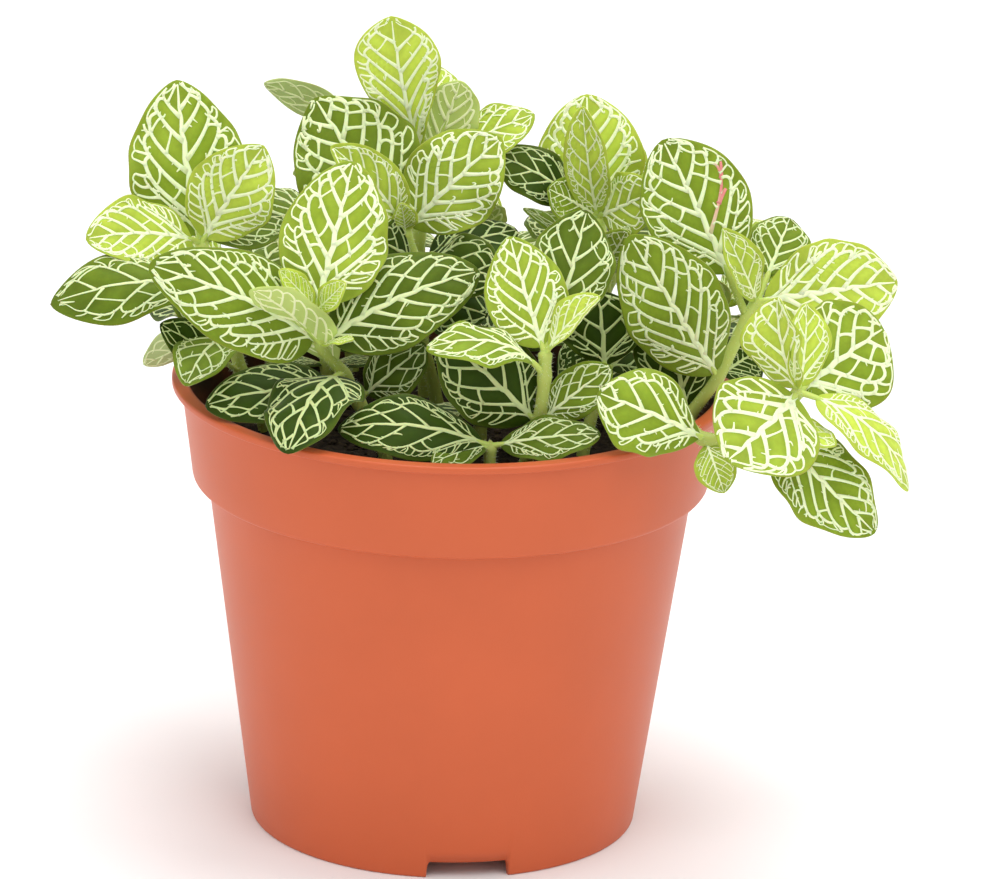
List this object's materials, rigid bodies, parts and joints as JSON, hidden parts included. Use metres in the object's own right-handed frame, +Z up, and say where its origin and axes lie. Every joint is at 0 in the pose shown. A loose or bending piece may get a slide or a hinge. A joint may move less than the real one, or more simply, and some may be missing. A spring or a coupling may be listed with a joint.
{
  "type": "potted nerve plant",
  "caption": "Leafy nerve plant with net-veined oval leaves, growing in soil in a round terracotta-coloured plastic nursery pot with a banded rim.",
  "frame": {"origin": "on the ground under the middle of the whole plant's box; the pot's axis stands off it because the plant leans and outgrows the pot", "axes": "+Z up, -Y is the front that the reference view shows, +X to the right seen from the front"},
  "size_m": [0.1814, 0.1357, 0.176],
  "materials": {
    "pot_plastic": "satin moulded polypropylene in terracotta orange",
    "soil": "damp dark peat with fibres and crumbs",
    "leaf": "green leaves with cream net veins, satin, pale undersides",
    "stem": "yellow-green stems with fine pale hairs"
  },
  "bodies": {
    "root": {"pot": "pot_plastic", "soil": "soil", "stem_left": "leaf", "stem_front_left": "leaf", "stem_top": "leaf", "stem_centre": "leaf", "stem_back": "leaf", "stem_back_right": "leaf", "stem_front": "leaf", "stem_right_front": "leaf", "stem_right": "leaf", "stem_mid_right": "leaf", "stem_front_low": "leaf", "stem_far_left": "leaf", "stem_far_back_left": "leaf", "stem_far_back": "leaf", "stem_far_back_right": "leaf", "stem_far_right": "leaf", "stem_inner": "leaf", "stem_inner_left": "leaf", "stem_inner_front": "leaf"}
  },
  "joints": []
}
